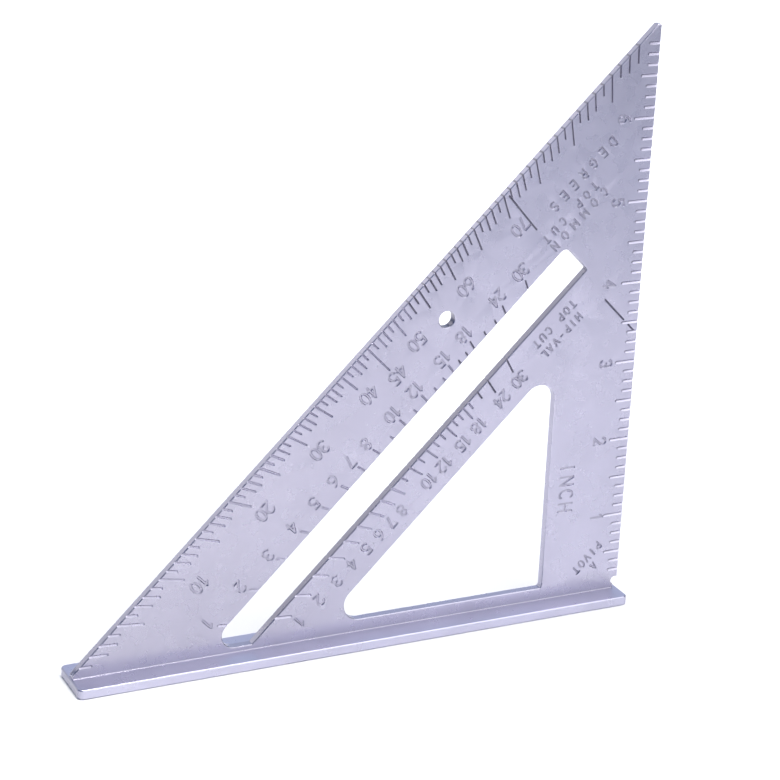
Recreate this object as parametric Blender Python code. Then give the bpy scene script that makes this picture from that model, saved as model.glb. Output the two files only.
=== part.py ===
"""Speed square: a right-angled rafter square made of a plate and a T-shaped fence rail.

Frame: metres, +Z up, the square stands on its fence. The plate lies in the XZ plane with its
marked face toward -Y, the acute corner toward -X and the pivot corner toward +X.
"""
import math

import bmesh
import bpy
from mathutils import Vector

MM = 0.001
GAP = 0.3 * MM                     # clearance kept between the two pieces

# Plate
LEG = 180.8 * MM                   # square edge to acute corner along the rail's register face
HYP_LEG = 181.4 * MM               # leg distance of the sloping edge, whose acute tip is cut off
TIP_U = 180.3 * MM                 # distance from the square edge at which the tip is cut off
PLATE_T = 2.8 * MM                 # plate thickness
APEX_Z = 180.2 * MM                # height of the blunt top corner above the register face
PLATE_EDGE = 0.35 * MM             # rounding of the plate's edges
TONGUE = 1.2 * MM                  # how far the plate reaches into the rail
TONGUE_INSET = 2.4 * MM            # where the tongue stops short of the rail's acute end

# Rail
LIP = 7.4 * MM                     # projection of the rail on each side of the plate
RAIL_T = 3.0 * MM                  # thickness of the rail
RAIL_EDGE = 0.7 * MM               # rounding of the rail's edges
RAIL_CORNER = 1.2 * MM             # rounding of the rail's upright corners

# Slanted scribing slot, measured from the square corner along a leg to each side of the slot
SLOT_OUTER = 141.95 * MM
SLOT_INNER = 126.55 * MM
SLOT_END = 88.05 * MM              # height minus distance from the square edge at the upper end
SLOT_FOOT = 1.6 * MM               # height of the slot's lower end above the register face
SLOT_FOOT_R = 4.1 * MM
SLOT_TOP_R = 2.4 * MM
SLOT_SMALL_R = 0.5 * MM

# Triangular window
WINDOW_HYP = 106.75 * MM           # leg distance of the window's sloping side
WINDOW_RIGHT = 27.45 * MM          # distance of the upright side from the square edge
WINDOW_FOOT = 4.0 * MM             # height of the lower side above the register face
WINDOW_R = 5.2 * MM
WINDOW_SMALL_R = 1.0 * MM

# Hang hole
HOLE_U = 65.65 * MM                # distance from the square edge
HOLE_V = 96.4 * MM                 # height above the register face
HOLE_D = 5.0 * MM

# Pivot notch at the square corner, a round-ended cut just above the rail
NOTCH_U = 0.95 * MM
NOTCH_V = 2.45 * MM
NOTCH_R = 1.25 * MM
FOOT_U = 1.5 * MM                  # where the plate starts below the notch

ARC_STEP = math.radians(9.0)


def clear_scene():
    for obj in list(bpy.data.objects):
        bpy.data.objects.remove(obj, do_unlink=True)


def make_material(name, colour, roughness):
    """Return a bare cast-metal Principled material."""
    mat = bpy.data.materials.new(name)
    mat.use_nodes = True
    shader = mat.node_tree.nodes["Principled BSDF"]
    shader.inputs["Base Color"].default_value = (*colour, 1.0)
    shader.inputs["Metallic"].default_value = 1.0
    shader.inputs["Roughness"].default_value = roughness
    return mat


def world(u, v):
    """Turn (distance from the square edge, height above the register face) into row-frame XZ."""
    return (LEG / 2 - u, v + RAIL_T)


def arc(centre, radius, start, end):
    """Points on an arc in (u, v) from start to end, both in radians."""
    count = max(2, int(abs(end - start) / ARC_STEP) + 1)
    points = []
    for i in range(count + 1):
        a = start + (end - start) * i / count
        points.append((centre[0] + radius * math.cos(a), centre[1] + radius * math.sin(a)))
    return points


def rounded(corners):
    """Round a closed polygon given as (first, second, radius) corners."""
    points = []
    count = len(corners)
    for i in range(count):
        first_value, second_value, radius = corners[i]
        here = Vector((first_value, second_value))
        before = (Vector(corners[i - 1][:2]) - here).normalized()
        after = (Vector(corners[(i + 1) % count][:2]) - here).normalized()
        half = before.angle(after) / 2
        reach = radius / math.tan(half)
        centre = here + (before + after).normalized() * (radius / math.sin(half))
        first = here + before * reach - centre
        last = here + after * reach - centre
        start = math.atan2(first.y, first.x)
        sweep = math.atan2(last.y, last.x) - start
        sweep = (sweep + math.pi) % (2 * math.pi) - math.pi
        points.extend(arc(centre, radius, start, start + sweep))
    return points


def prism(name, outline, y_low, y_high):
    """Extrude a closed (u, v) outline along Y and return the object."""
    bm = bmesh.new()
    low = []
    for u, v in outline:
        x, z = world(u, v)
        low.append(bm.verts.new((x, y_low, z)))
    face = bm.faces.new(low)
    lifted = bmesh.ops.extrude_face_region(bm, geom=[face])
    moved = [item for item in lifted["geom"] if isinstance(item, bmesh.types.BMVert)]
    bmesh.ops.translate(bm, verts=moved, vec=(0.0, y_high - y_low, 0.0))
    bmesh.ops.recalc_face_normals(bm, faces=bm.faces)
    mesh = bpy.data.meshes.new(name)
    bm.to_mesh(mesh)
    bm.free()
    obj = bpy.data.objects.new(name, mesh)
    bpy.context.collection.objects.link(obj)
    return obj


def cut(target, tool):
    """Subtract a cutter from a target with an exact Boolean modifier."""
    tool.hide_render = True
    tool.display_type = "WIRE"
    modifier = target.modifiers.new("cut " + tool.name, "BOOLEAN")
    modifier.operation = "DIFFERENCE"
    modifier.solver = "EXACT"
    modifier.object = tool


def bevel(target, width, segments):
    modifier = target.modifiers.new("edges", "BEVEL")
    modifier.width = width
    modifier.segments = segments
    modifier.limit_method = "ANGLE"
    modifier.angle_limit = math.radians(40.0)


def slot_outline():
    """The slanted slot: parallel sides, a square upper end and a level lower end."""
    return rounded([
        (SLOT_OUTER - SLOT_FOOT, SLOT_FOOT, SLOT_FOOT_R),
        (SLOT_INNER - SLOT_FOOT, SLOT_FOOT, SLOT_SMALL_R),
        ((SLOT_INNER - SLOT_END) / 2, (SLOT_INNER + SLOT_END) / 2, SLOT_SMALL_R),
        ((SLOT_OUTER - SLOT_END) / 2, (SLOT_OUTER + SLOT_END) / 2, SLOT_TOP_R),
    ])


def window_outline():
    """The triangular window between the slot, the square edge and the rail."""
    return rounded([
        (WINDOW_HYP - WINDOW_FOOT, WINDOW_FOOT, WINDOW_R),
        (WINDOW_RIGHT, WINDOW_FOOT, WINDOW_SMALL_R),
        (WINDOW_RIGHT, WINDOW_HYP - WINDOW_RIGHT, WINDOW_R),
    ])


def plate_outline():
    """The triangular plate with its two blunt ends, pivot notch and tongue."""
    points = [(TIP_U, GAP), (TIP_U, HYP_LEG - TIP_U), (HYP_LEG - APEX_Z, APEX_Z)]
    points += [(0.0, APEX_Z), (0.0, NOTCH_V + NOTCH_R)]
    points += arc((NOTCH_U, NOTCH_V), NOTCH_R, math.pi / 2, -math.acos((FOOT_U - NOTCH_U) / NOTCH_R))
    points += [(FOOT_U, -TONGUE), (LEG - TONGUE_INSET, -TONGUE), (LEG - TONGUE_INSET, GAP)]
    return points


def build_plate(material):
    plate = prism("blade", plate_outline(), -PLATE_T / 2, PLATE_T / 2)
    depth = PLATE_T
    cut(plate, prism("tool_slot", slot_outline(), -depth, depth))
    cut(plate, prism("tool_window", window_outline(), -depth, depth))
    hole = arc((HOLE_U, HOLE_V), HOLE_D / 2, 0.0, 2 * math.pi - ARC_STEP)
    cut(plate, prism("tool_hole", hole, -depth, depth))
    bevel(plate, PLATE_EDGE, 2)
    plate.data.materials.append(material)
    return plate


def build_rail(material):
    """The rail: a rounded bar with a groove in its register face for the plate's tongue."""
    half = PLATE_T / 2 + LIP
    mesh = bpy.data.meshes.new("fence")
    rail = bpy.data.objects.new("fence", mesh)
    bpy.context.collection.objects.link(rail)
    bm = bmesh.new()
    profile = rounded([
        (-LEG / 2, -half, RAIL_CORNER),
        (LEG / 2, -half, RAIL_CORNER),
        (LEG / 2, half, RAIL_CORNER),
        (-LEG / 2, half, RAIL_CORNER),
    ])
    face = bm.faces.new([bm.verts.new((x, y, 0.0)) for x, y in profile])
    lifted = bmesh.ops.extrude_face_region(bm, geom=[face])
    moved = [item for item in lifted["geom"] if isinstance(item, bmesh.types.BMVert)]
    bmesh.ops.translate(bm, verts=moved, vec=(0.0, 0.0, RAIL_T))
    bmesh.ops.recalc_face_normals(bm, faces=bm.faces)
    bm.to_mesh(mesh)
    bm.free()
    bevel(rail, RAIL_EDGE, 3)
    groove = [
        (LEG - TONGUE_INSET + GAP, -TONGUE - GAP),
        (LEG - TONGUE_INSET + GAP, RAIL_T),
        (FOOT_U - GAP, RAIL_T),
        (FOOT_U - GAP, -TONGUE - GAP),
    ]
    reach = PLATE_T / 2 + GAP
    cut(rail, prism("tool_groove", groove, -reach, reach))
    rail.data.materials.append(material)
    return rail


def finish_object(obj):
    """Shade smoothly with sharp arrises kept."""
    for polygon in obj.data.polygons:
        polygon.use_smooth = True
    obj.data.set_sharp_from_angle(angle=math.radians(35.0))


def main():
    clear_scene()
    metal = make_material("cast_plate", (0.78, 0.78, 0.83), 0.22)
    rail_metal = make_material("cast_rail", (0.76, 0.77, 0.82), 0.24)
    for obj in (build_plate(metal), build_rail(rail_metal)):
        finish_object(obj)


main()
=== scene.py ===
"""Looks of the speed square: a die-cast aluminium rafter square with recessed scales.

The marked plate is built as two height fields, front and back, over one triangulation that
follows the outline and every stroke of the scales, so each mark is a real groove.
Lengths in this script are millimetres in plate coordinates: x runs from the acute corner (-LEG)
to the square edge (0), and v is the height above the rail's register face.
"""
import math

import bpy
import numpy as np
from mathutils import Matrix, Vector
from mathutils.geometry import delaunay_2d_cdt


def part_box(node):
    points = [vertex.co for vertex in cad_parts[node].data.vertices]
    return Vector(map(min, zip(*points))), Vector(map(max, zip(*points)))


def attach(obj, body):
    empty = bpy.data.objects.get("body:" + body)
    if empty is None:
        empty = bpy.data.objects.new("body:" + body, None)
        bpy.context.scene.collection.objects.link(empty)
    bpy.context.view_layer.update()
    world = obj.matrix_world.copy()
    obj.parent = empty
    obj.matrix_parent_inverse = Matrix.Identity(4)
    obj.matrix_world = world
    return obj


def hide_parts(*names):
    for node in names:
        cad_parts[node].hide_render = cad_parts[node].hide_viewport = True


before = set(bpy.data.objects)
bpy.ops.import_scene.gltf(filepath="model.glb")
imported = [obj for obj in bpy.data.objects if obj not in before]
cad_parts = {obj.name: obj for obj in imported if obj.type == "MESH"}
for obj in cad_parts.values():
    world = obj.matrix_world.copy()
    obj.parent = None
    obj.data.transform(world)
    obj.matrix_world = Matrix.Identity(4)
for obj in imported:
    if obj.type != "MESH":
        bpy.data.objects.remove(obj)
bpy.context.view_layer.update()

MM = 0.001
INCH = 25.4

# ---------------------------------------------------------------- sizes taken from the frame
blade_low, blade_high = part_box("blade")
fence_low, fence_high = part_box("fence")
EDGE_X = fence_high.x / MM                      # the square edge
LEG = (fence_high.x - fence_low.x) / MM
REGISTER = fence_high.z / MM                    # the rail's register face
APEX = blade_high.z / MM - REGISTER
PLATE_HALF = (blade_high.y - blade_low.y) / MM / 2
RAIL_HALF = (fence_high.y - fence_low.y) / MM / 2

# ---------------------------------------------------------------- outline of the plate
# A leg distance is v - x, which is the same all along a line parallel to the hypotenuse.
SLOT_OUTER = 141.95                             # leg distance of the slot's upper side
SLOT_INNER = 126.55                             # leg distance of its lower side
SLOT_END = 88.05                                # x + v along its upper end
SLOT_FOOT = 1.6                                 # height of its lower end
WINDOW_HYP = 106.75                             # leg distance of the window's sloping side
WINDOW_RIGHT = 27.45                            # distance of its upright side from the edge
WINDOW_FOOT = 4.0                               # height of its lower side
HOLE_X = -65.65
HOLE_V = 96.4
HOLE_R = 2.5
NOTCH_X = -0.95
NOTCH_V = 2.45
NOTCH_R = 1.25
FOOT_X = -1.5                                   # where the plate starts below the notch

HYP_LEG = 181.4                                 # leg distance of the hypotenuse
TIP_X = -180.3                                  # where the plate's acute tip is cut off
HYP_APEX = APEX - HYP_LEG                       # x where the hypotenuse meets the blunt top
EDGE_R = 0.38                                   # rounding of the plate's edges
HYP_BACK_R = 0.55                               # rounding of the hypotenuse's back edge
FILLET_R = 0.3                                  # fillet between plate and rail
BLUNT_R = 0.35                                  # corners of the blunt top, seen from the front
ARC_STEP = math.radians(6.0)
QUARTER = np.radians((0.0, 22.5, 45.0, 67.5, 90.0))     # steps of the plate's rounded edges
MERGED = 1e-4                                   # points closer than this become one point

# ---------------------------------------------------------------- grooves
SCALE_ZERO = 0.75                               # the scales' pivot lies this far inside the edge
FLAT_BELOW = math.radians(28.0)                 # ticks at a lower angle than this are broad
STEEP_ABOVE = math.radians(52.0)                # ticks at a higher angle than this are dark
# One row for each kind: half width, depth, share of the half width that is flat floor, painted shade
# The last column is painted shade in the grooves, strongest on steep ticks and nil on flat ones
GROOVES = (
    (0.60, 0.42, 0.10, 0.0),                    # RULER
    (0.52, 0.42, 0.10, 0.0),                    # FLAT_TICK
    (0.40, 0.44, 0.10, 0.35),                   # SLOPING_TICK
    (0.38, 0.48, 0.10, 1.0),                    # STEEP_TICK
    (0.48, 0.48, 0.38, 0.45),                   # NUMERAL
    (0.38, 0.44, 0.30, 0.60),                   # LETTER
    (0.36, 0.46, 0.10, 0.80),                   # PIT
)
RULER, FLAT_TICK, SLOPING_TICK, STEEP_TICK, NUMERAL, LETTER, PIT = range(len(GROOVES))
OUTSIDE = 1.5                                   # grooves are looked for within this share
GRID = 0.1                                      # pitch of the grid that traces the grooves
TRACE_SHARES = (1.0, 0.65, 0.3)                 # shares of the half width that are traced
TRACE_TOLERANCE = 0.02                          # how far a traced line may leave its contour

# ---------------------------------------------------------------- painted shade
# Painted shade on the walls of the slot, the window and the hole: sloping or upright, level
WALL_SHADE = ((0.80, 0.30), (0.35, 0.20), (1.0, 1.0))
LEVEL_WALLS = 5.0                               # the openings' level walls lie below this height
ON_WALL = 0.05                                  # points this near an opening are on its wall
# Painted shade darkens the face toward its two sharp ends. Each: most, start and length of the
# change.
ACUTE_SHADE = (0.36, 40.0, 100.0)             # by distance from the square edge
APEX_SHADE = (0.28, 140.0, 30.0)              # by height
# Painted shade darkens the inner corner above the rail, where the plate meets it, and
# most of all near the square edge
CORNER_SHADE = 0.16
SQUARE_CORNER_SHADE = (0.50, -55.0, 35.0)     # added to it, by x
CORNER_REACH = 5.0                              # the dull corner ends at this height


# ================================================================ outlines
def rounded(corners):
    """Points of a polygon given as (x, v, radius) corners, each corner turned by an arc."""
    points = []
    count = len(corners)
    for i, (x, v, radius) in enumerate(corners):
        if radius <= 0.0:
            points.append((x, v))
            continue
        here = Vector((x, v))
        before = (Vector(corners[i - 1][:2]) - here).normalized()
        after = (Vector(corners[(i + 1) % count][:2]) - here).normalized()
        half = before.angle(after) / 2
        reach = radius / math.tan(half)
        centre = here + (before + after).normalized() * (radius / math.sin(half))
        start_arm = here + before * reach - centre
        end_arm = here + after * reach - centre
        start = math.atan2(start_arm.y, start_arm.x)
        sweep = (math.atan2(end_arm.y, end_arm.x) - start + math.pi) % (2 * math.pi) - math.pi
        steps = max(3, math.ceil(abs(sweep) / ARC_STEP))
        for k in range(steps + 1):
            angle = start + sweep * k / steps
            points.append((centre.x + radius * math.cos(angle), centre.y + radius * math.sin(angle)))
    return np.array(points)


def circle(x, v, radius, steps):
    """Points of a circle, counter-clockwise."""
    angles = np.arange(steps) * 2 * math.pi / steps
    return np.column_stack((x + radius * np.cos(angles), v + radius * np.sin(angles)))


def plate_rim():
    """The plate's outline, clockwise. It runs on below the register face, where it is cut off."""
    over = 4.0                                  # how far it runs on
    start = rounded([
        (TIP_X, -over, 0.0),
        (TIP_X, HYP_LEG + TIP_X, 0.0),
        (HYP_APEX, APEX, BLUNT_R),
        (0.0, APEX, BLUNT_R),
        (0.0, NOTCH_V + NOTCH_R, 0.0),
    ])
    last = -math.acos((FOOT_X - NOTCH_X) / -NOTCH_R)
    turns = np.linspace(math.pi / 2, last, 24)
    notch = np.column_stack((NOTCH_X - NOTCH_R * np.cos(turns), NOTCH_V + NOTCH_R * np.sin(turns)))
    return np.vstack((start, notch, ((FOOT_X, -over),)))


def plate_openings():
    """The slot, the window and the hang hole, each counter-clockwise."""
    slot = rounded([
        (-(SLOT_OUTER - SLOT_FOOT), SLOT_FOOT, 4.1),
        (-(SLOT_INNER - SLOT_FOOT), SLOT_FOOT, 0.5),
        (-(SLOT_INNER - SLOT_END) / 2, (SLOT_INNER + SLOT_END) / 2, 0.5),
        (-(SLOT_OUTER - SLOT_END) / 2, (SLOT_OUTER + SLOT_END) / 2, 2.4),
    ])
    window = rounded([
        (-(WINDOW_HYP - WINDOW_FOOT), WINDOW_FOOT, 5.2),
        (-WINDOW_RIGHT, WINDOW_FOOT, 0.9),
        (-WINDOW_RIGHT, WINDOW_HYP - WINDOW_RIGHT, 5.2),
    ])
    return [slot, window, circle(HOLE_X, HOLE_V, HOLE_R, 48)]


def offset(points, distance):
    """Move a closed polyline to its right-hand side, where the metal is, with mitred turns."""
    d0 = points - np.roll(points, 1, axis=0)
    d1 = np.roll(points, -1, axis=0) - points
    n0 = np.column_stack((d0[:, 1], -d0[:, 0])) / np.linalg.norm(d0, axis=1)[:, None]
    n1 = np.column_stack((d1[:, 1], -d1[:, 0])) / np.linalg.norm(d1, axis=1)[:, None]
    mitre = n0 + n1
    mitre /= (mitre * n0).sum(1)[:, None]
    return points + mitre * distance


def segments_of(loop):
    """Rows of x0, v0, x1, v1 for the sides of a closed loop."""
    return np.hstack((loop, np.roll(loop, -1, axis=0)))


# ================================================================ marks
def bow(cx, cy, rx, ry, start, end):
    """A stroke along an ellipse from start to end degrees."""
    steps = max(4, int(abs(end - start) / 15))
    angles = np.radians(np.linspace(start, end, steps + 1))
    return [(cx + rx * math.cos(a), cy + ry * math.sin(a)) for a in angles]


# Each glyph is (width, strokes) in a cell one unit high, drawn with single strokes.
GLYPHS = {
    "0": (0.54, [bow(0.27, 0.5, 0.27, 0.5, 0, 360)]),
    "1": (0.26, [[(0.0, 0.78), (0.22, 1.0), (0.22, 0.0)]]),
    "2": (0.54, [bow(0.27, 0.72, 0.27, 0.28, 165, -35) + [(0.0, 0.0), (0.54, 0.0)]]),
    "3": (0.52, [bow(0.25, 0.75, 0.24, 0.25, 155, -90), bow(0.25, 0.25, 0.27, 0.25, 90, -155)]),
    "4": (0.58, [[(0.42, 0.0), (0.42, 1.0), (0.0, 0.3), (0.58, 0.3)]]),
    "5": (0.52, [[(0.48, 1.0), (0.08, 1.0), (0.04, 0.54)] + bow(0.24, 0.31, 0.28, 0.31, 125, -150)]),
    "6": (0.54, [bow(0.27, 0.29, 0.27, 0.29, 0, 360), bow(0.56, 0.29, 0.56, 0.72, 180, 100)]),
    "7": (0.52, [[(0.0, 1.0), (0.52, 1.0), (0.18, 0.0)]]),
    "8": (0.54, [bow(0.27, 0.76, 0.22, 0.24, 0, 360), bow(0.27, 0.26, 0.27, 0.26, 0, 360)]),
    "A": (0.60, [[(0.0, 0.0), (0.30, 1.0), (0.60, 0.0)], [(0.11, 0.36), (0.49, 0.36)]]),
    "C": (0.58, [bow(0.31, 0.5, 0.31, 0.5, 48, 312)]),
    "D": (0.58, [[(0.0, 0.0), (0.0, 1.0)] + bow(0.22, 0.5, 0.36, 0.5, 90, -90) + [(0.0, 0.0)]]),
    "E": (0.50, [[(0.50, 1.0), (0.0, 1.0), (0.0, 0.0), (0.50, 0.0)], [(0.0, 0.52), (0.42, 0.52)]]),
    "G": (0.60, [bow(0.31, 0.5, 0.31, 0.5, 48, 340) + [(0.60, 0.46), (0.36, 0.46)]]),
    "H": (0.54, [[(0.0, 0.0), (0.0, 1.0)], [(0.54, 0.0), (0.54, 1.0)], [(0.0, 0.5), (0.54, 0.5)]]),
    "I": (0.02, [[(0.01, 0.0), (0.01, 1.0)]]),
    "L": (0.46, [[(0.0, 1.0), (0.0, 0.0), (0.46, 0.0)]]),
    "M": (0.70, [[(0.0, 0.0), (0.0, 1.0), (0.35, 0.25), (0.70, 1.0), (0.70, 0.0)]]),
    "N": (0.56, [[(0.0, 0.0), (0.0, 1.0), (0.56, 0.0), (0.56, 1.0)]]),
    "O": (0.62, [bow(0.31, 0.5, 0.31, 0.5, 0, 360)]),
    "P": (0.50, [[(0.0, 0.0), (0.0, 1.0), (0.24, 1.0)] + bow(0.24, 0.74, 0.26, 0.26, 90, -90)
                 + [(0.0, 0.48)]]),
    "R": (0.54, [[(0.0, 0.0), (0.0, 1.0), (0.24, 1.0)] + bow(0.24, 0.75, 0.27, 0.25, 90, -90)
                 + [(0.0, 0.5)], [(0.26, 0.5), (0.54, 0.0)]]),
    "S": (0.54, [bow(0.27, 0.75, 0.25, 0.25, 40, 270) + bow(0.27, 0.25, 0.27, 0.25, 90, -140)]),
    "T": (0.56, [[(0.0, 1.0), (0.56, 1.0)], [(0.28, 1.0), (0.28, 0.0)]]),
    "U": (0.54, [[(0.0, 1.0)] + bow(0.27, 0.28, 0.27, 0.28, 180, 360) + [(0.54, 1.0)]]),
    "V": (0.60, [[(0.0, 1.0), (0.30, 0.0), (0.60, 1.0)]]),
    "-": (0.40, [[(0.0, 0.5), (0.40, 0.5)]]),
    "^": (0.56, [[(0.0, 0.0), (0.28, 1.0), (0.56, 0.0)]]),
}


class Marks:
    """Grooves of one face: segments as rows of x0, v0, x1, v1, kind.

    The scales are laid out from their own pivot, SCALE_ZERO inside the square edge.
    """

    def __init__(self, mirrored):
        self.mirrored = mirrored
        self.rows = []

    def stroke(self, points, kind):
        """Add a polyline of one kind of groove."""
        for a, b in zip(points[:-1], points[1:]):
            self.rows.append((a[0] - SCALE_ZERO, a[1], b[0] - SCALE_ZERO, b[1], kind))

    def label(self, text, centre, up, height, pitch, kind=NUMERAL):
        """Write text centred on a point.

        up is its upright direction in degrees, height is the height of its characters, and
        pitch is the distance from one character to the next.
        """
        upward = np.array((math.cos(math.radians(up)), math.sin(math.radians(up))))
        onward = np.array((upward[1], -upward[0]))
        if self.mirrored:
            onward = -onward
        middle = (len(text) - 1) / 2
        for i, character in enumerate(text):
            if character == " ":
                continue
            width, strokes = GLYPHS[character]
            start = (i - middle) * pitch - width * height / 2
            for points in strokes:
                placed = [np.array(centre) + onward * (start + x * height)
                          + upward * (y - 0.5) * height for x, y in points]
                self.stroke(placed, kind)


RUN_OUT = 1.5                                    # ticks run on past the edge they start at


def radial_tick(marks, pivot, angle, leg, length, side):
    """A tick aimed at the pivot on the line x = v - leg, with its length along the tick.

    side is -1 for a tick on the pivot's side of the line and +1 for one beyond it.
    Returns the inner end and the tick's direction, scaled to step 1 square to the line.
    """
    leg = leg - SCALE_ZERO
    direction = np.array((-math.cos(angle), math.sin(angle)))
    across = np.array((-1.0, 1.0)) / math.sqrt(2.0)
    gain = float(direction @ across)
    start = (leg / math.sqrt(2.0) - float(pivot @ across)) / gain
    outer = pivot + direction * (start - side * RUN_OUT / gain)
    inner = pivot + direction * (start + side * length)
    kind = SLOPING_TICK
    if angle < FLAT_BELOW:
        kind = FLAT_TICK
    elif angle > STEEP_ABOVE:
        kind = STEEP_TICK
    marks.stroke([outer, inner], kind)
    return inner, side * direction / gain


TOWARD_PIVOT = -45.0                             # upright direction of most labels, in degrees
SQUARE_TO_HYP = np.array((1.0, -1.0)) / math.sqrt(2.0)
ALONG_HYP = np.array((1.0, 1.0)) / math.sqrt(2.0)


def degree_scale(marks):
    """One degree ticks along the hypotenuse, with numerals every ten degrees and at 45."""
    pivot = np.array((-0.35, 0.25))
    numeral_row = 11.2                          # distance of the numerals from the hypotenuse
    for degree in range(1, 89):
        length = 6.7 if degree % 5 == 0 else 2.8 if degree % 5 in (1, 4) else 4.4
        if degree == 45:
            length = 10.6
        length *= math.cos(math.radians(degree - 45)) ** -0.6      # longer where they slant
        inner, toward = radial_tick(marks, pivot, math.radians(degree), HYP_LEG, length, -1)
        depth = (HYP_LEG - SCALE_ZERO + inner[0] - inner[1]) / math.sqrt(2.0)
        if degree == 45:
            marks.label("45", inner + SQUARE_TO_HYP * 3.3 + ALONG_HYP * 0.6, TOWARD_PIVOT, 4.2, 3.1)
        elif degree % 10 == 0 and degree < 80:
            step = (0.3 * toward + 0.7 * SQUARE_TO_HYP) * (numeral_row - depth) + ALONG_HYP
            marks.label(str(degree), inner + step, TOWARD_PIVOT, 4.1, 3.1)


def common_scale(marks):
    """Common rafter rise per 12 of run, above the slot."""
    pivot = np.array((3.7, -2.1))
    named = (1, 2, 3, 4, 5, 6, 7, 8, 10, 12, 15, 18, 24, 30)
    for rise in (*range(1, 19), 20, 22, 24, 30):
        length = 3.0 if rise in named else 1.6
        inner, away = radial_tick(marks, pivot, math.atan2(rise, 12), SLOT_OUTER, length, 1)
        if rise in named:
            step = (0.5 * away - 0.5 * SQUARE_TO_HYP) * 3.3
            marks.label(str(rise), inner + step, TOWARD_PIVOT, 3.9, 2.75)


def hip_scale(marks):
    """Hip and valley rafter scale, below the slot: ticks by their rise per 17 of run."""
    pivot = np.array((1.0, 2.0))
    # Numeral at each long tick. The tick at 9 is long and has none.
    named = {rise: str(rise) for rise in range(1, 9)}
    named.update({9: "", 11: "10", 13: "12", 16: "15", 19: "18", 24.5: "24", 30: "30"})
    for rise in (*range(1, 21), 22, 24.5, 30):
        length = 4.9 if rise in named else 2.6
        angle = math.atan2(rise, 17)
        inner, toward = radial_tick(marks, pivot, angle, SLOT_INNER, length, -1)
        if named.get(rise):
            place = inner + (0.2 * toward + 0.8 * SQUARE_TO_HYP) * 3.5
            marks.label(named[rise], place, TOWARD_PIVOT, 3.8, 2.75)


def inch_scale(marks):
    """Eighth inch ruler down the square edge, from a little above the register face."""
    beyond_edge = 2.2
    for eighth in range(2, 56):
        depth = 5.75 if eighth % 8 == 0 else 4.6 if eighth % 4 == 0 else 2.7
        v = eighth * INCH / 8 + 0.15
        marks.stroke([(beyond_edge, v), (-depth, v)], RULER)
        marks.stroke([(-depth + 0.1, v), (-depth - 0.2, v)], PIT)
        if eighth % 8 == 0:
            centre = {8: -8.6, 32: -10.3}.get(eighth, -9.5)
            marks.label(str(eighth // 8), (centre, v), 0.0, 4.0, 2.9)


def words(marks):
    """Scale names, in plain capitals."""
    marks.label("DEGREES", (-22.1, 136.8), TOWARD_PIVOT, 3.1, 4.3, LETTER)
    marks.label("COMMON", (-22.4, 123.2), TOWARD_PIVOT, 2.7, 4.35, LETTER)
    marks.label("TOP CUT", (-25.6, 125.4), TOWARD_PIVOT, 2.5, 3.55, LETTER)
    marks.label("HIP-VAL", (-25.8, 87.2), TOWARD_PIVOT, 2.4, 2.55, LETTER)
    marks.label("TOP CUT", (-28.5, 91.1), TOWARD_PIVOT, 2.5, 2.7, LETTER)
    marks.label("PIVOT", (-11.0, 11.8), TOWARD_PIVOT, 2.6, 2.6, LETTER)
    marks.label("^", (-8.3, 8.6), TOWARD_PIVOT, 2.3, 2.6, LETTER)
    marks.label("INCH", (-20.3, 36.9), 0.0, 4.6, 4.4)


def bisector(marks):
    """The line square to the hypotenuse, cut in three pieces: one at each end, and a short one."""
    meets = 85.6                                # height at which it meets the square edge
    leg = HYP_LEG - SCALE_ZERO
    at_hyp = (-(leg - meets) / 2 + 1.0, (leg + meets) / 2 - 1.0)
    marks.stroke([at_hyp, (-36.8, 121.2)], STEEP_TICK)
    marks.stroke([(-11.4, meets + 11.4), (-4.4, meets + 4.4)], STEEP_TICK)
    marks.stroke([(-2.6, meets + 2.6), (-0.6, meets + 0.6)], STEEP_TICK)


def all_marks(mirrored):
    """Rows of every mark of one face. mirrored is true for the back, which is read from behind."""
    marks = Marks(mirrored)
    for scale in (degree_scale, common_scale, hip_scale, inch_scale, words, bisector):
        scale(marks)
    return np.array(marks.rows)


# ================================================================ distances
def nearest(points, rows, reach):
    """Signed distance to the nearest segment, clipped to reach, positive on its right side."""
    best = np.full(len(points), reach)
    sign = np.ones(len(points))
    order = np.argsort(points[:, 0], kind="stable")
    sorted_x = points[order, 0]
    for x0, v0, x1, v1 in rows[:, :4]:
        first = np.searchsorted(sorted_x, min(x0, x1) - reach)
        last = np.searchsorted(sorted_x, max(x0, x1) + reach)
        near = order[first:last]
        pv = points[near, 1]
        near = near[(pv > min(v0, v1) - reach) & (pv < max(v0, v1) + reach)]
        if len(near) == 0:
            continue
        dx, dv = x1 - x0, v1 - v0
        px = points[near, 0] - x0
        pv = points[near, 1] - v0
        length = dx * dx + dv * dv
        t = np.clip((px * dx + pv * dv) / length, 0.0, 1.0) if length > 0 else 0.0
        gap = np.hypot(px - t * dx, pv - t * dv)
        closer = gap < best[near] - 1e-9
        chosen = near[closer]
        best[chosen] = gap[closer]
        side = px * dv - pv * dx
        sign[chosen] = np.where(side[closer] >= 0.0, 1.0, -1.0)
    return best * sign


def trough(share, floor):
    """Section of a groove: flat floor at 1, sloping walls, shoulders that run out level at 0."""
    t = np.clip((1.0 - share) / (1.0 - floor), 0.0, 1.0)
    return t * t * (3.0 - 2.0 * t)


def groove_shares(points, rows, kind):
    """Distance from the grooves of one kind, as a share of their half width."""
    half = GROOVES[kind][0]
    return np.abs(nearest(points, rows[rows[:, 4] == kind], OUTSIDE * half)) / half


def groove_depth(points, rows):
    """Depth of one face's grooves at some points."""
    depth = np.zeros(len(points))
    for kind, (_, full_depth, floor, _) in enumerate(GROOVES):
        depth = np.maximum(depth, full_depth * trough(groove_shares(points, rows, kind), floor))
    return depth


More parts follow.
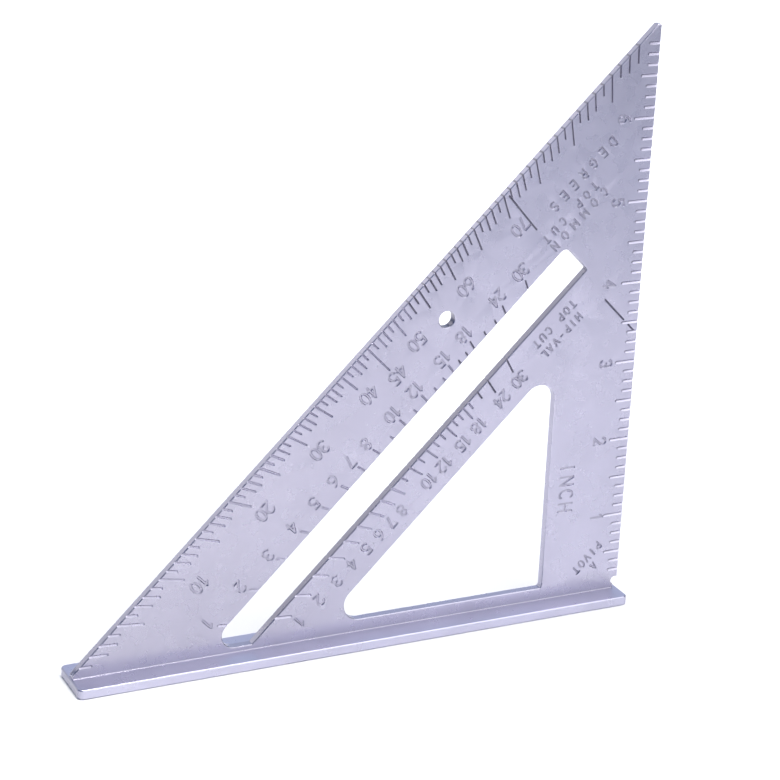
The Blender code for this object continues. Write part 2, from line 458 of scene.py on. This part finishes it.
def tarnish(points, rows):
    """How much painted shade darkens the grooves, from 0 on the face upward."""
    shade_amount = np.zeros(len(points))
    for kind, (_, _, _, most) in enumerate(GROOVES):
        if most > 0.0:
            share = groove_shares(points, rows, kind)
            # Painted shade, deepest at the middle of each groove
            shade_amount = np.maximum(shade_amount, most * np.clip(1.3 * (1.0 - share), 0.0, 1.0))
    return shade_amount


def gradient(values_at, points, step):
    """Central differences of a scalar function of points."""
    shift_x = np.array((step, 0.0))
    shift_v = np.array((0.0, step))
    gx = (values_at(points + shift_x) - values_at(points - shift_x)) / (2 * step)
    gv = (values_at(points + shift_v) - values_at(points - shift_v)) / (2 * step)
    return np.column_stack((gx, gv))


# ================================================================ tracing the grooves
def contours(field, level):
    """Closed loops, in grid units, along which a grid of values crosses a level."""
    inside = field < level
    code = (inside[:-1, :-1].astype(int) + 2 * inside[:-1, 1:] + 4 * inside[1:, 1:]
            + 8 * inside[1:, :-1])
    width = field.shape[1]
    links = {}

    def join(a, b):
        links.setdefault(a, []).append(b)
        links.setdefault(b, []).append(a)

    sides = {1: "SW", 2: "SE", 3: "EW", 4: "NE", 6: "SN", 7: "NW", 8: "NW", 9: "SN",
             11: "NE", 12: "EW", 13: "SE", 14: "SW"}
    for i, j in zip(*np.nonzero((code > 0) & (code < 15))):
        edge = {"S": 2 * (i * width + j), "N": 2 * ((i + 1) * width + j),
                "W": 2 * (i * width + j) + 1, "E": 2 * (i * width + j + 1) + 1}
        cell = code[i, j]
        if cell in sides:
            join(edge[sides[cell][0]], edge[sides[cell][1]])
        elif cell == 5:
            join(edge["S"], edge["E"])
            join(edge["N"], edge["W"])
        else:
            join(edge["S"], edge["W"])
            join(edge["N"], edge["E"])

    def place(edge):
        i, j = divmod(edge // 2, width)
        a = field[i, j]
        if edge % 2:
            b = field[i + 1, j]
            return (j, i + (level - a) / (b - a))
        b = field[i, j + 1]
        return (j + (level - a) / (b - a), i)

    loops = []
    while links:
        start = next(iter(links))
        loop = [start]
        here = links[start][0]
        before = start
        while here != start:
            loop.append(here)
            a, b = links[here]
            before, here = here, (b if a == before else a)
        for edge in loop:
            del links[edge]
        loops.append(np.array([place(edge) for edge in loop]))
    return loops


def simplified(loop, tolerance):
    """Drop the points of a closed loop that lie within a tolerance of the kept ones."""
    far = int(np.argmax(np.hypot(*(loop - loop[0]).T)))
    keep = np.zeros(len(loop) + 1, bool)
    keep[[0, far, len(loop)]] = True
    points = np.vstack((loop, loop[:1]))
    stack = [(0, far), (far, len(loop))]
    while stack:
        a, b = stack.pop()
        if b - a < 2:
            continue
        chord = points[b] - points[a]
        size = max(float(np.hypot(*chord)), 1e-12)
        rest = points[a + 1:b] - points[a]
        away = np.abs(rest[:, 0] * chord[1] - rest[:, 1] * chord[0]) / size
        worst = int(np.argmax(away))
        if away[worst] > tolerance:
            middle = a + 1 + worst
            keep[middle] = True
            stack += [(a, middle), (middle, b)]
    return points[:-1][keep[:-1]]


def groove_loops(rows):
    """Contours of a face's grooves at the traced shares of the half width."""
    margin = 5.0                                # of the grid, beyond the plate
    xs = np.arange(-LEG - margin, margin, GRID)
    vs = np.arange(-margin, APEX + margin, GRID)
    share = np.full((len(vs), len(xs)), OUTSIDE)
    for x0, v0, x1, v1, kind in rows:
        half = GROOVES[int(kind)][0]
        reach = OUTSIDE * half
        j0, j1 = np.searchsorted(xs, (min(x0, x1) - reach, max(x0, x1) + reach))
        i0, i1 = np.searchsorted(vs, (min(v0, v1) - reach, max(v0, v1) + reach))
        px = xs[None, j0:j1] - x0
        pv = vs[i0:i1, None] - v0
        dx, dv = x1 - x0, v1 - v0
        t = np.clip((px * dx + pv * dv) / max(dx * dx + dv * dv, 1e-12), 0.0, 1.0)
        gap = np.hypot(px - t * dx, pv - t * dv) / half
        share[i0:i1, j0:j1] = np.minimum(share[i0:i1, j0:j1], gap)
    loops = []
    for level in TRACE_SHARES:
        for loop in contours(share, level):
            placed = loop * GRID + (xs[0], vs[0])
            loops.append(simplified(placed, TRACE_TOLERANCE))
    return loops


# ================================================================ the plate
def plate_outline(rim, openings):
    """Segments of the rim and the openings."""
    return np.vstack([segments_of(loop) for loop in (rim, *openings)])


def triangulated(rim, openings, front_marks, back_marks):
    """Points and triangles of the plate seen from the front, along all of its lines."""
    points = []
    edges = []

    def add(polyline, closed):
        first = len(points)
        points.extend(Vector((float(x), float(v))) for x, v in polyline)
        last = len(points)
        edges.extend((k, k + 1) for k in range(first, last - 1))
        if closed:
            edges.append((last - 1, first))

    for inset in EDGE_R * (1.0 - np.sin(QUARTER)):
        for loop in (rim, *openings):
            add(offset(loop, inset), True)
    beyond = 2.0
    start = (TIP_X - beyond, HYP_LEG + TIP_X - beyond)
    end = (HYP_APEX + beyond, APEX + beyond)
    for inset in HYP_BACK_R * (1.0 - np.sin(QUARTER[:-1])):
        add(np.array((start, end)) + inset * SQUARE_TO_HYP, False)
    for height in (0.0, *(FILLET_R * (1.0 - np.sin(QUARTER[1:-1]))), FILLET_R):
        add(np.array(((-LEG - 3.0, height), (1.0, height))), False)
    for marks in (front_marks, back_marks):
        for loop in groove_loops(marks):
            add(loop, True)

    flat, _, triangles, _, _, _ = delaunay_2d_cdt(points, edges, [], 0, MERGED)
    flat = np.array([tuple(p) for p in flat])
    triangles = np.array([tuple(t) for t in triangles])
    middle = flat[triangles].mean(1)
    outline = plate_outline(rim, openings)
    inside = (nearest(middle, outline, 2 * LEG) > 0.0) & (middle[:, 1] > 0.0)
    triangles = triangles[inside]
    used, triangles = np.unique(triangles, return_inverse=True)
    triangles = triangles.reshape(-1, 3)
    flat = flat[used]
    a, b, c = flat[triangles[:, 0]], flat[triangles[:, 1]], flat[triangles[:, 2]]
    turned = (b[:, 0] - a[:, 0]) * (c[:, 1] - a[:, 1]) < (b[:, 1] - a[:, 1]) * (c[:, 0] - a[:, 0])
    triangles[turned] = triangles[turned][:, ::-1]
    return flat, triangles


def ramp(values, start, length):
    """0 up to start, then rising evenly to 1 over a length."""
    return np.clip((values - start) / length, 0.0, 1.0)


def plain_tarnish(flat, openings):
    """Painted shade on the openings' walls and on the face without its grooves."""
    walls = np.zeros(len(flat))
    # Painted shade on the openings' walls, deeper on upright walls than on level ones
    for loop, (upright, level) in zip(openings, WALL_SHADE):
        close = np.abs(nearest(flat, segments_of(loop), 2 * ON_WALL)) < ON_WALL
        walls[close] = np.where(flat[close, 1] < LEVEL_WALLS, level, upright)
    # Painted shade toward the acute corner and toward the apex
    most, start, length = ACUTE_SHADE
    face = most * ramp(-flat[:, 0], start, length)
    most, start, length = APEX_SHADE
    face += most * ramp(flat[:, 1], start, length)
    # Painted shade in the inner corner where the plate meets the rail
    most, start, length = SQUARE_CORNER_SHADE
    corner = CORNER_SHADE + most * ramp(flat[:, 0], start, length)
    face += corner * np.clip(1.0 - flat[:, 1] / CORNER_REACH, 0.0, 1.0)
    return np.where(walls > 0.0, walls, face)


def round_over(gap, radius):
    """Fall of a quarter-round edge and its slope, from the distance to the edge.

    The slope is kept finite at the very edge, where it would be upright.
    """
    inset = np.clip(radius - gap, 0.0, radius)
    run = np.sqrt(np.maximum(radius ** 2 - inset ** 2, 1e-8))
    return radius - run, inset / run


def plate_skin(flat, outline, marks, facing):
    """World points and normals of one face. facing is -1 for the front and +1 for the back."""

    def rim_gap(places):
        return nearest(places, outline, 2 * EDGE_R)

    def depth_at(places):
        return groove_depth(places, marks)

    step = 0.01
    fall, steep = round_over(rim_gap(flat), EDGE_R)
    fall_slope = -gradient(rim_gap, flat, step) * steep[:, None]
    if facing > 0:
        hyp_gap = (HYP_LEG + flat[:, 0] - flat[:, 1]) / math.sqrt(2.0)
        hyp_fall, hyp_steep = round_over(hyp_gap, HYP_BACK_R)
        deeper = hyp_fall > fall
        fall[deeper] = hyp_fall[deeper]
        fall_slope[deeper] = -SQUARE_TO_HYP * hyp_steep[deeper, None]
    groove = depth_at(flat)
    groove_slope = gradient(depth_at, flat, step)
    # The rounded edge and the groove run into each other as the fourth root of fourth powers
    depth = np.maximum((fall ** 4 + groove ** 4) ** 0.25, 1e-6)
    slope = (fall[:, None] ** 3 * fall_slope + groove[:, None] ** 3 * groove_slope)
    slope /= depth[:, None] ** 3
    rise, rise_slope = round_over(flat[:, 1], FILLET_R)
    slope[:, 1] += rise_slope
    depth -= rise
    y = facing * (PLATE_HALF - depth)
    place = np.column_stack((flat[:, 0] + EDGE_X, y, flat[:, 1] + REGISTER)) * MM
    normal = np.column_stack((slope[:, 0], np.full(len(flat), float(facing)), slope[:, 1]))
    normal /= np.linalg.norm(normal, axis=1)[:, None]
    return place, normal


def closed_faces(triangles, count):
    """Faces of the front, the back, whose points come count later, and the walls between them."""
    ends = np.sort(np.vstack((triangles[:, :2], triangles[:, 1:], triangles[:, ::2])), axis=1)
    pairs, times = np.unique(ends, axis=0, return_counts=True)
    open_pairs = {tuple(p) for p in pairs[times == 1]}
    faces = [tuple(t) for t in triangles]
    faces += [tuple(t[::-1] + count) for t in triangles]
    for t in triangles:
        for i, j in ((t[0], t[1]), (t[1], t[2]), (t[2], t[0])):
            if (min(i, j), max(i, j)) in open_pairs:
                faces.append((j, i, i + count, j + count))
    return [[int(k) for k in face] for face in faces]


def make_piece(name, points, faces, normals, shade_amount, material):
    """A smooth mesh object with its own normals and a painted shade value at each point."""
    mesh = bpy.data.meshes.new(name)
    mesh.from_pydata(points, [], faces)
    mesh.polygons.foreach_set("use_smooth", [True] * len(mesh.polygons))
    mesh.attributes.new("tarnish", "FLOAT", "POINT").data.foreach_set("value", shade_amount)
    mesh.normals_split_custom_set_from_vertices(normals)
    mesh.materials.append(material)
    piece = bpy.data.objects.new(name, mesh)
    bpy.context.scene.collection.objects.link(piece)
    return piece


def build_plate(material):
    """The plate, as front and back height fields over one triangulation, joined by walls."""
    rim = plate_rim()
    openings = plate_openings()
    outline = plate_outline(rim, openings)
    front_marks = all_marks(False)
    back_marks = all_marks(True)
    flat, triangles = triangulated(rim, openings, front_marks, back_marks)
    front, front_normals = plate_skin(flat, outline, front_marks, -1)
    back, back_normals = plate_skin(flat, outline, back_marks, 1)
    # Painted shade of the grooves, the openings' walls and the face, kept at each point
    plain = plain_tarnish(flat, openings)
    front_shade = np.maximum(tarnish(flat, front_marks), plain)
    back_shade = np.maximum(tarnish(flat, back_marks), plain)
    return make_piece("blade_casting", np.vstack((front, back)).tolist(),
                      closed_faces(triangles, len(flat)),
                      np.vstack((front_normals, back_normals)).tolist(),
                      np.concatenate((front_shade, back_shade)).astype(np.float32), material)


# ================================================================ the rail
RAIL_CORNER = 1.9                                # upright corners of the rail, in plan
RAIL_EDGE = 0.45                                 # long edges of the rail
END_SHADE = 0.6                                # painted shade on the rail's end faces


def build_rail(material):
    """A bar swept from a rounded plan outline, with quarter-round long edges and exact normals."""
    plan = rounded([
        (-LEG, -RAIL_HALF, RAIL_CORNER),
        (0.0, -RAIL_HALF, RAIL_CORNER),
        (0.0, RAIL_HALF, RAIL_CORNER),
        (-LEG, RAIL_HALF, RAIL_CORNER),
    ])
    centres = np.column_stack((np.clip(plan[:, 0], -LEG + RAIL_CORNER, -RAIL_CORNER),
                               np.clip(plan[:, 1], RAIL_CORNER - RAIL_HALF, RAIL_HALF - RAIL_CORNER)))
    outward = (plan - centres) / RAIL_CORNER
    points = []
    normals = []
    shade_amount = []
    turns = np.radians(np.linspace(0.0, 90.0, 7))
    section = [(t - math.pi / 2, 0) for t in turns] + [(t, 1) for t in turns]
    for angle, upper in section:
        inset = RAIL_EDGE * (1.0 - math.cos(angle))
        base = REGISTER - RAIL_EDGE if upper else RAIL_EDGE
        z = base + RAIL_EDGE * math.sin(angle)
        for place, out in zip(plan - outward * inset, outward):
            points.append(((place[0] + EDGE_X) * MM, place[1] * MM, z * MM))
            normals.append((out[0] * math.cos(angle), out[1] * math.cos(angle), math.sin(angle)))
            # Painted shade on the rail's end faces, by how far each point faces along the rail
            shade_amount.append(END_SHADE * out[0] ** 2 * math.cos(angle))
    count = len(plan)
    rings = len(section)
    faces = [list(range(count))[::-1], list(range((rings - 1) * count, rings * count))]
    for ring in range(rings - 1):
        first = ring * count
        for k in range(count):
            after = (k + 1) % count
            faces.append([first + k, first + after, first + count + after, first + count + k])
    return make_piece("fence_casting", points, faces, normals, shade_amount, material)


# ================================================================ materials
FULL_SHADE_SHARE = 0.45                                # share of the colour left at full painted shade


def cast_metal(name, colour, roughness):
    """Bright satin die-cast aluminium with soft casting ripples and a fine grain."""
    mat = bpy.data.materials.new(name)
    mat.use_nodes = True
    nodes = mat.node_tree.nodes
    links = mat.node_tree.links
    shader = nodes["Principled BSDF"]
    shader.inputs["Metallic"].default_value = 1.0
    place = nodes.new("ShaderNodeTexCoord")

    def noise(scale, detail):
        node = nodes.new("ShaderNodeTexNoise")
        node.inputs["Scale"].default_value = scale
        node.inputs["Detail"].default_value = detail
        links.new(place.outputs["Object"], node.inputs["Vector"])
        return node.outputs["Fac"]

    def spread(value, low, high):
        node = nodes.new("ShaderNodeMapRange")
        node.inputs["From Min"].default_value = 0.3
        node.inputs["From Max"].default_value = 0.7
        node.inputs["To Min"].default_value = low
        node.inputs["To Max"].default_value = high
        links.new(value, node.inputs["Value"])
        return node.outputs["Result"]

    # Faint clouds of tint, darkened where painted shade is stored at the points
    tint = nodes.new("ShaderNodeMix")
    tint.data_type = "RGBA"
    tint.inputs["A"].default_value = (*(c * 0.95 for c in colour), 1.0)
    tint.inputs["B"].default_value = (*(min(1.0, c * 1.03) for c in colour), 1.0)
    links.new(spread(noise(60.0, 4.0), 0.0, 1.0), tint.inputs["Factor"])
    shade_amount = nodes.new("ShaderNodeAttribute")
    shade_amount.attribute_name = "tarnish"
    # Mix toward the darker colour by the painted shade
    shade_mix = nodes.new("ShaderNodeMix")
    shade_mix.data_type = "RGBA"
    shade_mix.inputs["B"].default_value = (*(c * FULL_SHADE_SHARE for c in colour), 1.0)
    links.new(shade_amount.outputs["Fac"], shade_mix.inputs["Factor"])
    links.new(tint.outputs["Result"], shade_mix.inputs["A"])
    links.new(shade_mix.outputs["Result"], shader.inputs["Base Color"])
    links.new(spread(noise(220.0, 5.0), roughness - 0.04, roughness + 0.05),
              shader.inputs["Roughness"])
    # Soft ripples of the casting, and its fine grain over them
    ripple = nodes.new("ShaderNodeBump")
    ripple.inputs["Strength"].default_value = 0.035
    ripple.inputs["Distance"].default_value = 0.0004
    links.new(noise(90.0, 2.0), ripple.inputs["Height"])
    grain = nodes.new("ShaderNodeBump")
    grain.inputs["Strength"].default_value = 0.05
    grain.inputs["Distance"].default_value = 0.00004
    links.new(noise(1800.0, 3.0), grain.inputs["Height"])
    links.new(ripple.outputs["Normal"], grain.inputs["Normal"])
    links.new(grain.outputs["Normal"], shader.inputs["Normal"])
    return mat


# ================================================================ stage, light and camera
SKY_BASE = (0.14, 0.19, 0.33)
# Each field: direction, full inside and gone outside these angles in degrees, colour.
SKY_FIELDS = (
    ((0.42, 0.84, 0.34), 12, 34, (0.66, 0.73, 0.90)),
    ((0.42, -0.34, 0.84), 17, 36, (2.1, 2.1, 2.2)),
    ((0.42, -0.84, 0.34), 10, 40, (1.62, 1.66, 1.64)),
    ((-0.34, 0.84, 0.42), 8, 22, (1.15, 1.16, 1.18)),
    ((-0.54, 0.58, 0.61), 7, 15, (1.3, 1.3, 1.35)),
    ((-0.42, -0.84, 0.34), 5, 18, (0.30, 0.31, 0.36)),
    ((1.0, 0.0, 0.12), 15, 38, (0.06, 0.07, 0.11)),
)


def build_stage():
    """The plain pale floor."""
    mesh = bpy.data.meshes.new("floor")
    size = 3.0
    mesh.from_pydata([(-size, -size, 0), (size, -size, 0), (size, size, 0), (-size, size, 0)],
                     [], [(0, 1, 2, 3)])
    floor = bpy.data.objects.new("floor", mesh)
    bpy.context.scene.collection.objects.link(floor)
    mat = bpy.data.materials.new("floor_paint")
    mat.use_nodes = True
    shader = mat.node_tree.nodes["Principled BSDF"]
    shader.inputs["Base Color"].default_value = (0.85, 0.85, 0.86, 1.0)
    shader.inputs["Roughness"].default_value = 0.8
    mesh.materials.append(mat)


def pool_light(name, place, aim, power, colour, inner, outer, radius):
    """A spotlight aimed at a point of the floor, full inside one radius there, gone past another."""
    beam = Vector((*aim, 0.0)) - Vector(place)
    full = math.cos(math.atan(inner / beam.length))
    gone = math.cos(math.atan(outer / beam.length))
    data = bpy.data.lights.new(name, "SPOT")
    data.energy = power
    data.color = colour
    data.spot_size = 2 * math.acos(gone)
    data.spot_blend = (full - gone) / (1.0 - gone)
    data.shadow_soft_size = radius
    lamp = bpy.data.objects.new(name, data)
    bpy.context.scene.collection.objects.link(lamp)
    lamp.location = place
    lamp.rotation_euler = beam.to_track_quat("-Z", "Y").to_euler()


def build_sky():
    """Soft studio surroundings: a bluish base with a few broad lighter and darker fields."""
    world = bpy.data.worlds.new("studio")
    world.use_nodes = True
    nodes = world.node_tree.nodes
    links = world.node_tree.links
    direction = nodes.new("ShaderNodeTexCoord").outputs["Generated"]
    colour = nodes.new("ShaderNodeRGB").outputs["Color"]
    colour.default_value = (*SKY_BASE, 1.0)
    for aim, tight, wide, field in SKY_FIELDS:
        dot = nodes.new("ShaderNodeVectorMath")
        dot.operation = "DOT_PRODUCT"
        dot.inputs[1].default_value = Vector(aim).normalized()
        links.new(direction, dot.inputs[0])
        share = nodes.new("ShaderNodeMapRange")
        share.interpolation_type = "SMOOTHSTEP"
        share.inputs["From Min"].default_value = math.cos(math.radians(wide))
        share.inputs["From Max"].default_value = math.cos(math.radians(tight))
        links.new(dot.outputs["Value"], share.inputs["Value"])
        mix = nodes.new("ShaderNodeMix")
        mix.data_type = "RGBA"
        mix.inputs["B"].default_value = (*field, 1.0)
        links.new(share.outputs["Result"], mix.inputs["Factor"])
        links.new(colour, mix.inputs["A"])
        colour = mix.outputs["Result"]
    links.new(colour, nodes["Background"].inputs["Color"])
    bpy.context.scene.world = world


def build_lights():
    """Overhead lamps in the plane of the plate, so that its shadow stays under the rail."""
    lamp = (0.11, 0.0, 1.25)
    side = (-0.12, 0.0, 1.25)
    pool_light("near_pool", lamp, (0.082, -0.27), 48.0, (1.0, 0.97, 0.91), 0.15, 0.26, 0.08)
    pool_light("middle_pool", lamp, (0.07, 0.26), 43.0, (1.0, 0.98, 0.93), 0.28, 0.36, 0.08)
    pool_light("side_pool", side, (-0.20, -0.18), 74.0, (1.0, 0.98, 0.90), 0.16, 0.24, 0.08)
    pool_light("back_pool", (0.36, 0.80, 1.3), (0.36, 0.80), 80.0, (1.0, 1.0, 1.0), 0.42, 0.80, 0.20)
    build_sky()


def build_camera():
    """The camera, in front of the marked face, to its left and above it, a little rolled."""
    azimuth = math.radians(26.33)
    elevation = math.radians(20.03)
    roll = math.radians(2.5)
    distance = 0.671
    target = Vector((0.00715, -PLATE_HALF * MM, 0.0796))
    forward = Vector((math.sin(azimuth) * math.cos(elevation),
                      math.cos(azimuth) * math.cos(elevation), -math.sin(elevation)))
    data = bpy.data.cameras.new("camera")
    data.sensor_width = 36.0
    data.lens = 106.2
    camera = bpy.data.objects.new("camera", data)
    bpy.context.scene.collection.objects.link(camera)
    upright = forward.to_track_quat("-Z", "Y").to_matrix().to_4x4()
    camera.matrix_world = (Matrix.Translation(target - forward * distance) @ upright
                           @ Matrix.Rotation(roll, 4, "Z"))
    bpy.context.scene.camera = camera


# ================================================================ assembly
bpy.context.scene.view_settings.view_transform = "Standard"
build_camera()
build_stage()
build_lights()

plate = build_plate(cast_metal("cast_plate", (0.565, 0.545, 0.665), 0.28))
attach(plate, "root")
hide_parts("blade")

rail = build_rail(cast_metal("cast_rail", (0.56, 0.55, 0.68), 0.30))
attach(rail, "root")
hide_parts("fence")
